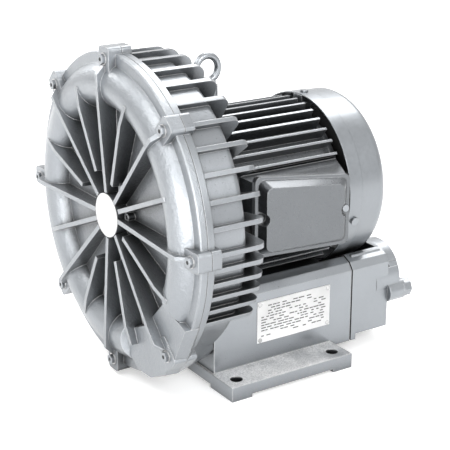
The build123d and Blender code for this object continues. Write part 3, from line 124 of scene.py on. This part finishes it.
def new_group(name, takes, gives):
    """Start a shader node group; takes is {name: default}, gives is {name: socket kind}."""
    group = bpy.data.node_groups.new(name, "ShaderNodeTree")
    for label, default in takes.items():
        kind = "NodeSocketColor" if isinstance(default, tuple) else "NodeSocketFloat"
        socket = group.interface.new_socket(label, in_out="INPUT", socket_type=kind)
        socket.default_value = default
    for label, kind in gives.items():
        group.interface.new_socket(label, in_out="OUTPUT", socket_type=kind)
    tree = Tree(group)
    entry = tree.node("NodeGroupInput").outputs
    result = tree.node("NodeGroupOutput").inputs
    return group, tree, entry, result


# Rounded edges: the normal of a small radius on every arris, and where those arrises are.
FLAT_FACE, SHARP_ARRIS = 0.995, 0.86  # how far the rounded normal still agrees with the face
edge_group, t, entry, result = new_group(
    "cast_edges", {"Radius": 0.0012}, {"Normal": "NodeSocketVector", "Edge": "NodeSocketFloat"})
round_normal = t.node("ShaderNodeBevel", {"Radius": entry["Radius"]}, samples=6).outputs[0]
face_normal = t.node("ShaderNodeNewGeometry").outputs["True Normal"]
t.feed(result["Normal"], round_normal)
t.feed(result["Edge"], t.spread(
    t.dot(round_normal, face_normal), FLAT_FACE, SHARP_ARRIS, kind="SMOOTHSTEP"))

# Casting skin: broad tone, fine grain and its height.
grain_group, t, entry, result = new_group(
    "casting_skin", {"Grain Size": 0.0016, "Cloud Size": 0.05},
    {"Cloud": "NodeSocketFloat", "Grain": "NodeSocketFloat", "Height": "NodeSocketFloat"})
place = t.node("ShaderNodeTexCoord").outputs["Object"]
grain_scale = t.math("DIVIDE", 1.0, entry["Grain Size"])
grain = t.noise(place, grain_scale, 4.0, 0.6)
coarse = t.noise(place, t.math("MULTIPLY", grain_scale, 0.35), 2.0, 0.5)
t.feed(result["Cloud"], t.spread(t.noise(place, t.math("DIVIDE", 1.0, entry["Cloud Size"]), 3.0),
                                 0.25, 0.75))
t.feed(result["Grain"], t.spread(grain, 0.3, 0.7))
t.feed(result["Height"], t.math("ADD", t.math("MULTIPLY", grain, 0.6),
                                t.math("MULTIPLY", coarse, 0.6)))

# Dust and dull settling on faces that look up, broken up by a soft cloud.
dust_group, t, entry, result = new_group(
    "settled_dust", {"Amount": 0.2}, {"Dust": "NodeSocketFloat"})
up = t.dot(t.node("ShaderNodeNewGeometry").outputs["Normal"], (0.0, 0.0, 1.0))
place = t.node("ShaderNodeTexCoord").outputs["Object"]
cloud = t.spread(t.noise(place, 45.0, 4.0), 0.3, 0.75, 0.3, 1.0)
t.feed(result["Dust"], t.math("MULTIPLY", t.math("MULTIPLY", t.spread(up, 0.3, 0.95), cloud),
                              entry["Amount"]))

# Painted shade in crevices: where neighbouring faces close in, the colour darkens, standing in for
# the shade that falls there.
WIDE_OPEN, SHUT_IN = 0.78, 0.2  # share of the surroundings that a point still sees
crevice_shade_group, t, entry, result = new_group(
    "painted_crevice_shade", {"Reach": 0.03}, {"Depth": "NodeSocketFloat"})
openness = t.node("ShaderNodeAmbientOcclusion", {"Distance": entry["Reach"]},
                  samples=8).outputs["AO"]
t.feed(result["Depth"], t.spread(openness, WIDE_OPEN, SHUT_IN, kind="SMOOTHSTEP"))

# Fine scratches of worked metal, drawn out along one direction of the object.
scratch_group, t, entry, result = new_group(
    "worked_metal", {"Along X": 1.0, "Along Y": 1.0, "Along Z": 1.0, "Scale": 400.0},
    {"Lines": "NodeSocketFloat", "Tone": "NodeSocketFloat"})
place = t.node("ShaderNodeTexCoord").outputs["Object"]
stretch = t.node("ShaderNodeCombineXYZ", {0: entry["Along X"], 1: entry["Along Y"],
                                          2: entry["Along Z"]}).outputs[0]
drawn = t.node("ShaderNodeVectorMath", {0: place, 1: stretch}, operation="MULTIPLY").outputs[0]
t.feed(result["Lines"], t.noise(drawn, entry["Scale"], 3.0, 0.6))
t.feed(result["Tone"], t.spread(t.noise(place, 60.0, 4.0), 0.3, 0.7))


class Finish(Tree):
    """One material; its Principled shader stays here, and the groups feed it."""

    def __init__(self, name):
        self.material = bpy.data.materials.new(name)
        self.material.use_nodes = True
        super().__init__(self.material.node_tree)
        self.surface = self.tree.nodes["Principled BSDF"]

    def group(self, which, **values):
        made = self.node("ShaderNodeGroup", node_tree=which)
        for key, value in values.items():
            made.inputs[key.replace("_", " ")].default_value = value
        return made.outputs

    def set(self, **values):
        for key, value in values.items():
            self.feed(self.surface.inputs[key.replace("_", " ")], value)


COOL = (0.93, 0.985, 1.045)
NEUTRAL = (1.0, 1.0, 1.0)


def tone(value, tint=NEUTRAL):
    return (value * tint[0], value * tint[1], value * tint[2], 1.0)


FLAKE = 0.85  # how metallic clean enamel is
# The darkest tone is painted shade in crevices; the pale edge tone is partly worn paint and partly a
# painted highlight.
DUST_TONE, BARE_AND_HIGHLIGHT_TONE, CREVICE_SHADE_TONE = 0.46, 0.55, 0.01
CREVICE_SHADE_SHARE, SPECK_SHARE, PATCH_DULLNESS = 0.92, 0.12, 0.7


def enamel(name, base, rough, grain, wear_and_highlight, dust, relief=0.0005, grain_size=0.0016,
           edge=0.0012, reach=0.03, patches=()):
    """Blue-grey enamel over metal. Patches are (mask builder, colour value, roughness)."""
    f = Finish(name)
    skin = f.group(grain_group, Grain_Size=grain_size)
    edges = f.group(edge_group, Radius=edge)
    settled = f.group(dust_group, Amount=dust)["Dust"]
    colour = f.blend(skin["Cloud"], tone(base * 0.95, COOL), tone(base * 1.06, COOL))
    colour = f.blend(f.math("MULTIPLY", skin["Grain"], SPECK_SHARE), colour, tone(base * 1.5, COOL))
    colour = f.blend(settled, colour, tone(DUST_TONE))
    # Painted shade: crevices darken towards near-black where shade falls.
    painted_shade = f.group(crevice_shade_group, Reach=reach)["Depth"]
    colour = f.blend(f.math("MULTIPLY", painted_shade, CREVICE_SHADE_SHARE), colour, tone(CREVICE_SHADE_TONE))
    # Arrises lighten: partly worn paint, partly a painted highlight along the edges.
    rubbed_and_highlit = f.math("MULTIPLY", edges["Edge"], f.spread(skin["Grain"], 0.0, 1.0, 0.45, 1.0))
    colour = f.blend(f.math("MULTIPLY", rubbed_and_highlit, wear_and_highlight), colour, tone(BARE_AND_HIGHLIGHT_TONE))
    rough_map = f.spread(skin["Grain"], 0.0, 1.0, rough - 0.05, rough + 0.08)
    dulled = settled
    for build_mask, value, patch_rough in patches:
        mask = build_mask(f, skin["Grain"])
        colour = f.blend(mask, colour, f.blend(skin["Grain"], tone(value * 0.7), tone(value)))
        rough_map = f.math("ADD", f.math("MULTIPLY", mask, patch_rough - rough), rough_map)
        dulled = f.math("MAXIMUM", dulled, f.math("MULTIPLY", mask, PATCH_DULLNESS))
    metal = f.math("MULTIPLY", f.math("SUBTRACT", 1.0, dulled), FLAKE)
    f.set(Base_Color=colour, Roughness=rough_map, Metallic=metal)
    f.set(Coat_Weight=0.4, Coat_Roughness=0.1)
    f.set(Normal=f.bump(skin["Height"], grain, relief, edges["Normal"]))
    return f.material


def worked_metal(name, base, rough, tint=NEUTRAL, along=(1.0, 1.0, 1.0), grain=0.2):
    """Bare metal with fine scratches; a small share along an axis draws them out along it."""
    f = Finish(name)
    lines = f.group(scratch_group, Along_X=along[0], Along_Y=along[1], Along_Z=along[2])
    edges = f.group(edge_group, Radius=0.0006)
    f.set(Base_Color=f.blend(lines["Tone"], tone(base * 0.84, tint), tone(base * 1.1, tint)))
    f.set(Metallic=1.0, Roughness=f.spread(lines["Lines"], 0.3, 0.7, rough - 0.08, rough + 0.1))
    f.set(Normal=f.bump(lines["Lines"], grain, 0.0002, edges["Normal"]))
    return f.material


def dull_stuff(name, base, rough, tint=NEUTRAL, grain_size=0.003, grain=0.4):
    """Rubber, plastic, foam and board."""
    f = Finish(name)
    skin = f.group(grain_group, Grain_Size=grain_size)
    f.set(Base_Color=f.blend(skin["Cloud"], tone(base * 0.85, tint), tone(base * 1.15, tint)))
    f.set(Roughness=f.spread(skin["Grain"], 0.0, 1.0, rough - 0.08, rough + 0.1))
    f.set(Normal=f.bump(skin["Height"], grain, 0.0004))
    return f.material


# Each mask fades from its first value to its second, in metres.
HUB_RIM, HUB_FRONT, HUB_RAGGEDNESS = (0.0266, 0.0252), (-0.1548, -0.1556), 0.0015
FOOT_HEIGHT, FOOT_LEVEL = (0.0195, 0.0185), (0.8, 0.95)


def hub_face(f, grain):
    """Mask of the cover's round hub face, left rough and bright."""
    place = f.node("ShaderNodeTexCoord").outputs["Object"]
    parts = f.node("ShaderNodeSeparateXYZ", {0: place}).outputs
    rise = f.math("SUBTRACT", parts["Z"], SHAFT_HEIGHT * MM)
    radius = f.math("SQRT", f.math("ADD", f.math("MULTIPLY", parts["X"], parts["X"]),
                                   f.math("MULTIPLY", rise, rise)))
    ragged = f.math("ADD", radius, f.math("MULTIPLY", grain, HUB_RAGGEDNESS))
    return f.math("MULTIPLY", f.spread(ragged, *HUB_RIM), f.spread(parts["Y"], *HUB_FRONT))


def foot_top_highlight(f, grain):
    """Mask of the feet's upper faces: a painted highlight, lighter in colour, with a dull, rough
    finish in broken patches.
    """
    place = f.node("ShaderNodeTexCoord").outputs["Object"]
    low = f.spread(f.node("ShaderNodeSeparateXYZ", {0: place}).outputs["Z"], *FOOT_HEIGHT)
    normal = f.node("ShaderNodeNewGeometry").outputs["Normal"]
    up = f.spread(f.dot(normal, (0.0, 0.0, 1.0)), *FOOT_LEVEL)
    patchy = f.spread(f.noise(place, 22.0, 4.0), 0.3, 0.6, 0.25, 1.0)
    return f.math("MULTIPLY", f.math("MULTIPLY", low, up),
                  f.math("MULTIPLY", patchy, f.spread(grain, 0.0, 0.6, 0.6, 1.0)))


cover_paint = enamel("cover_enamel", 0.30, rough=0.36, grain=0.8, wear_and_highlight=0.6, dust=0.12,
                     relief=0.0011, grain_size=0.0017, reach=0.06,
                     patches=((hub_face, 0.95, 0.5),))
casing_paint = enamel("casing_enamel", 0.27, rough=0.32, grain=0.35, wear_and_highlight=0.6, dust=0.12,
                      reach=0.04)
# The feet's upper faces are painted lighter: a painted highlight.
base_paint = enamel("base_enamel", 0.30, rough=0.32, grain=0.12, wear_and_highlight=0.7, dust=0.08,
                    edge=0.0025, patches=((foot_top_highlight, 0.95, 0.5),))
manifold_paint = enamel("manifold_enamel", 0.30, rough=0.34, grain=0.4, wear_and_highlight=0.35, dust=0.15)
motor_paint = enamel("motor_enamel", 0.30, rough=0.30, grain=0.3, wear_and_highlight=0.7, dust=0.1)
cowl_paint = enamel("cowl_enamel", 0.27, rough=0.34, grain=0.06, wear_and_highlight=0.1, dust=0.05,
                    grain_size=0.004)
box_paint = enamel("box_enamel", 0.14, rough=0.30, grain=0.05, wear_and_highlight=0.3, dust=0.03)
screw_paint = enamel("painted_screw", 0.30, rough=0.32, grain=0.3, wear_and_highlight=0.5, dust=0.15,
                     edge=0.0005)
zinc = worked_metal("zinc_plated_steel", 0.5, rough=0.34)
ground_steel = worked_metal("ground_steel", 0.6, rough=0.22, along=(1.0, 0.05, 1.0))
laminations = worked_metal("lamination_steel", 0.34, rough=0.45, along=(0.05, 1.0, 0.05))
cast_metal = worked_metal("cast_aluminium", 0.62, rough=0.42, grain=0.5)
copper = worked_metal("copper_windings", 0.6, rough=0.36, tint=(1.0, 0.46, 0.22),
                      along=(1.0, 8.0, 1.0))
plate_metal = dull_stuff("plate_face", 0.9, rough=0.4, grain_size=0.02, grain=0.05)
plate_ink = dull_stuff("plate_ink", 0.09, rough=0.5, grain_size=0.001)
# The gasket black also serves as painted shade in the cover screws' sockets.
gasket_and_shadow_black = dull_stuff("gasket_and_shadow_black", 0.016, rough=0.7)
foam_stuff = dull_stuff("foam", 0.05, rough=0.9, grain_size=0.002, grain=0.8)
rubber_stuff = dull_stuff("seal_rubber", 0.02, rough=0.55)
black_plastic = dull_stuff("black_plastic", 0.022, rough=0.45)
board_stuff = dull_stuff("terminal_board", 0.12, rough=0.4, tint=(1.4, 1.0, 0.62))

FINISHES = {
    "front_cover": cover_paint, "rear_casing": casing_paint, "silencer_base": base_paint,
    "rear_manifold": manifold_paint, "motor_frame": motor_paint, "rear_shield": motor_paint,
    "fan_cowl": cowl_paint, "terminal_base": box_paint, "terminal_cover": box_paint,
    "eye_bolt": screw_paint, "port_plug": manifold_paint, "cover_screws": screw_paint,
    "motor_screws": screw_paint, "cowl_screws": screw_paint, "manifold_screws": zinc,
    "terminal_cover_screws": screw_paint, "base_screws": zinc, "shield_screws": screw_paint,
    "cover_gasket": gasket_and_shadow_black, "manifold_gasket": gasket_and_shadow_black, "terminal_gasket": gasket_and_shadow_black,
    "silencer_liners": foam_stuff, "shaft_seal": rubber_stuff, "cooling_fan": black_plastic,
    "conduit_plug": black_plastic, "terminal_block": board_stuff, "stator_windings": copper,
    "stator_core": laminations, "rotor_core": laminations, "impeller": cast_metal,
    "impeller_nut": zinc, "nameplate": plate_metal, "nameplate_rivets": zinc,
    "motor_shaft": ground_steel, "impeller_key": ground_steel, "impeller_washer": ground_steel,
    "fan_clip": ground_steel, "front_bearing": ground_steel, "rear_bearing": ground_steel,
}
for name, node in NODES.items():
    node.data.materials.clear()
    node.data.materials.append(FINISHES[name])


# ---- Pieces too fine for the solids -----------------------------------------------------------
def add_piece(name, points, faces, material):
    """Make one piece of the housing; its points are in millimetres."""
    mesh = bpy.data.meshes.new(name)
    mesh.from_pydata([Vector(point) * MM for point in points], [], faces)
    mesh.update()
    shape = bmesh.new()
    shape.from_mesh(mesh)
    bmesh.ops.recalc_face_normals(shape, faces=shape.faces)
    shape.to_mesh(mesh)
    shape.free()
    mesh.materials.append(material)
    made = bpy.data.objects.new(name, mesh)
    bpy.context.scene.collection.objects.link(made)
    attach(made, "housing")


def prism_along_y(outline, front, rear, points, faces):
    """Add a closed prism between two stations; outline is a list of (x, z) in millimetres."""
    first, count = len(points), len(outline)
    points += [(x, front, z) for x, z in outline] + [(x, rear, z) for x, z in outline]
    faces.append(list(range(first, first + count)))
    faces.append(list(range(first + count, first + 2 * count))[::-1])
    for k in range(count):
        nxt = (k + 1) % count
        faces.append([first + k, first + nxt, first + count + nxt, first + count + k])


def ring_along_y(x, z, inner, outer, front, rear, points, faces, steps=40):
    """Add a closed ring between two stations, square in section."""
    first = len(points)
    for step in range(steps):
        turn = 2 * math.pi * step / steps
        for radius, y in ((inner, front), (outer, front), (outer, rear), (inner, rear)):
            points.append((x + radius * math.cos(turn), y, z + radius * math.sin(turn)))
    for step in range(steps):
        here, there = first + 4 * step, first + 4 * ((step + 1) % steps)
        for k in range(4):
            nxt = (k + 1) % 4
            faces.append([here + k, here + nxt, there + nxt, there + k])


# Caps over the two upper manifold screws: they fill the pockets in the round port bosses.
PORT_X, PORT_Z, BOSS_RADIUS, BOSS_FACE = 54.0, 72.0, 39.9, 181.8
POCKET_X, POCKET_Z, POCKET_RADIUS, SCREW_HEAD_FACE = 83.0, 89.0, 6.95, 169.3
CAP_STEPS = 48
points, faces = [], []
for side in (-1, 1):
    outline = []
    for step in range(CAP_STEPS):
        turn = 2 * math.pi * step / CAP_STEPS
        aim_x, aim_z = math.cos(turn), math.sin(turn)
        off_x, off_z = POCKET_X - PORT_X, POCKET_Z - PORT_Z
        along = off_x * aim_x + off_z * aim_z
        to_rim = -along + math.sqrt(along**2 + BOSS_RADIUS**2 - off_x**2 - off_z**2)
        reach = min(POCKET_RADIUS, to_rim)
        outline.append((side * (POCKET_X + reach * aim_x), POCKET_Z + reach * aim_z))
    prism_along_y(outline, SCREW_HEAD_FACE, BOSS_FACE, points, faces)
add_piece("pocket_caps", points, faces, manifold_paint)


# Washers at the cover screws, and painted shade: dark flat hexagons stand in for the shade in the
# screws' sockets.
COVER_SCREWS, SCREW_CIRCLE = 8, 170.0
WASHER_BORE, WASHER_RIM, WASHER_FRONT, WASHER_REAR = 3.2, 6.6, -154.0, -153.0
SOCKET_RADIUS, SOCKET_SIDES, SOCKET_FRONT, SOCKET_REAR = 2.3, 6, -157.6, -157.4
screw_places = []
for step in range(COVER_SCREWS):
    turn = 2 * math.pi * step / COVER_SCREWS
    screw_places.append((SCREW_CIRCLE * math.cos(turn), SHAFT_HEIGHT + SCREW_CIRCLE * math.sin(turn)))

points, faces = [], []
for x, z in screw_places:
    ring_along_y(x, z, WASHER_BORE, WASHER_RIM, WASHER_FRONT, WASHER_REAR, points, faces)
add_piece("cover_washers", points, faces, zinc)

# Painted shade: thin dark hexagons on the screw heads stand for the shade in their sockets.
points, faces = [], []
for x, z in screw_places:
    corners = [math.pi * k / (SOCKET_SIDES / 2) for k in range(SOCKET_SIDES)]
    socket = [(x + SOCKET_RADIUS * math.cos(turn), z + SOCKET_RADIUS * math.sin(turn))
              for turn in corners]
    prism_along_y(socket, SOCKET_FRONT, SOCKET_REAR, points, faces)
add_piece("socket_shadows", points, faces, gasket_and_shadow_black)

# Pipe threads in the two ports.
THREAD_PITCH, THREAD_TURNS, TURN_STEPS = 2.2, 8, 60
THREAD_START, THREAD_HALF_WIDTH, THREAD_ROOT, THREAD_CREST = 164.0, 0.9, 22.45, 21.4
profile = ((THREAD_ROOT, -THREAD_HALF_WIDTH), (THREAD_CREST, 0.0), (THREAD_ROOT, THREAD_HALF_WIDTH))
points, faces = [], []
for side in (-1, 1):
    first = len(points)
    for step in range(THREAD_TURNS * TURN_STEPS + 1):
        turn = 2 * math.pi * step / TURN_STEPS
        y = THREAD_START + THREAD_PITCH * step / TURN_STEPS
        for radius, rise in profile:
            points.append((side * PORT_X + radius * math.cos(turn), y + rise,
                           PORT_Z + radius * math.sin(turn)))
    for step in range(THREAD_TURNS * TURN_STEPS):
        here = first + 3 * step
        faces += [[here, here + 1, here + 4, here + 3], [here + 1, here + 2, here + 5, here + 4]]
add_piece("port_threads", points, faces, manifold_paint)

# Plain dashes in rows on the plate, in place of any print.
PLATE_FACE, PLATE_LEFT, PLATE_RIGHT, PLATE_TOP = 93.8, -21.5, 78.5, 88.0
INK_SUNK, INK_PROUD = 0.05, 0.08
ROW_COUNT, ROW_PITCH, ROW_HEIGHT, TOP_MARGIN = 12, 3.2, 1.2, 5.5
INDENTED_ROWS, DEEP_INDENT, INDENT = 4, 14.0, 5.0
SHORT_ROWS, WIDE_MARGIN, MARGIN = 2, 26.0, 6.0
FULL_ROWS, FEW_BLANKS, MANY_BLANKS = 10, 0.18, 0.55
DASH_LENGTHS, DASH_GAPS, LEAST_ROOM = (2.5, 8.0), (1.0, 1.4, 3.5), 3.0


def ink_bar(left, right, low, top, points, faces):
    first = len(points)
    for x in (PLATE_FACE - INK_SUNK, PLATE_FACE + INK_PROUD):
        points.extend([(x, left, low), (x, right, low), (x, right, top), (x, left, top)])
    faces.extend([[first + k for k in face] for face in (
        (0, 3, 2, 1), (4, 5, 6, 7), (0, 1, 5, 4), (1, 2, 6, 5), (2, 3, 7, 6), (3, 0, 4, 7))])


rows = random.Random(11)
points, faces = [], []
for row in range(ROW_COUNT):
    top = PLATE_TOP - TOP_MARGIN - ROW_PITCH * row
    at = PLATE_LEFT + (DEEP_INDENT if row < INDENTED_ROWS else INDENT)
    end = PLATE_RIGHT - (WIDE_MARGIN if row < SHORT_ROWS else MARGIN)
    while at < end - LEAST_ROOM:
        length = min(rows.uniform(*DASH_LENGTHS), end - at)
        if rows.random() > (FEW_BLANKS if row < FULL_ROWS else MANY_BLANKS):
            ink_bar(at, at + length, top - ROW_HEIGHT, top, points, faces)
        at += length + rows.choice(DASH_GAPS)
add_piece("plate_rows", points, faces, plate_ink)


# ---- Floor ------------------------------------------------------------------------------------
# White paper to every ray that is seen; to other rays it is dark, so it throws little light back.
FLOOR_HALF_WIDTH = 8.0
UNSEEN_TONE, PAPER_TONE = 0.05, 0.86
SHADOW_REACH, CLEAR_REACH = 0.5, 1.6  # shadows show up to the first and are gone at the second
SHADOW_GLOW, CLEAR_GLOW = 0.42, 1.0

floor_mesh = bpy.data.meshes.new("floor")
shape = bmesh.new()
bmesh.ops.create_grid(shape, x_segments=8, y_segments=8, size=FLOOR_HALF_WIDTH)
shape.to_mesh(floor_mesh)
shape.free()
floor = bpy.data.objects.new("floor", floor_mesh)
bpy.context.scene.collection.objects.link(floor)
paper = Finish("floor_paper")
seen = paper.seen_rays()
spot = paper.node("ShaderNodeTexCoord").outputs["Object"]
away = paper.node("ShaderNodeVectorMath", {0: spot}, operation="LENGTH").outputs["Value"]
glow = paper.spread(away, SHADOW_REACH, CLEAR_REACH, SHADOW_GLOW, CLEAR_GLOW)
paper.set(Base_Color=paper.blend(seen, tone(UNSEEN_TONE), tone(PAPER_TONE)), Roughness=0.9)
paper.set(Emission_Color=paper.blend(paper.noise(spot, 3.0), tone(0.98), tone(1.0)))
paper.set(Emission_Strength=paper.math("MULTIPLY", seen, glow))
floor.data.materials.append(paper.material)


# ---- Lights -----------------------------------------------------------------------------------
def soft_box(name, place, aim, size, power):
    data = bpy.data.lights.new(name, "AREA")
    data.energy = power
    data.shape = "RECTANGLE"
    data.size, data.size_y = size
    made = bpy.data.objects.new(name, data)
    made.location = place
    made.rotation_euler = (Vector(aim) - Vector(place)).to_track_quat("-Z", "Y").to_euler()
    bpy.context.scene.collection.objects.link(made)


COVER_AIM = (0.0, -0.1, 0.2)
soft_box("key_overhead", (-0.5, 0.8, 1.6), aim=(0.0, 0.0, 0.2), size=(1.1, 1.1), power=19.0)
soft_box("right_side", (1.9, 0.1, 1.25), aim=(0.0, 0.0, 0.15), size=(1.3, 1.0), power=27.0)
soft_box("front_right", (1.1, -1.5, 0.3), aim=COVER_AIM, size=(1.7, 1.2), power=38.0)
soft_box("front_top", (0.15, -0.95, 1.35), aim=COVER_AIM, size=(0.9, 0.6), power=9.0)
soft_box("left_top", (-1.5, -0.6, 1.1), aim=COVER_AIM, size=(0.8, 0.6), power=10.0)

# White to every ray that is seen. What lights the object comes from overhead, a little from behind.
BRIGHT_SIDE = (-0.15, 0.3, 0.94)
DIM_SKY, BRIGHT_SKY = 0.02, 0.6

world = bpy.data.worlds.new("studio")
bpy.context.scene.world = world
world.use_nodes = True
w = Tree(world.node_tree)
background = world.node_tree.nodes["Background"]
direction = w.node("ShaderNodeTexCoord").outputs["Generated"]
bright = w.spread(w.dot(direction, BRIGHT_SIDE), 0.0, 0.75, DIM_SKY, BRIGHT_SKY, "SMOOTHSTEP")
w.feed(background.inputs["Strength"], w.math("MAXIMUM", bright, w.seen_rays()))
w.feed(background.inputs["Color"], tone(1.0))
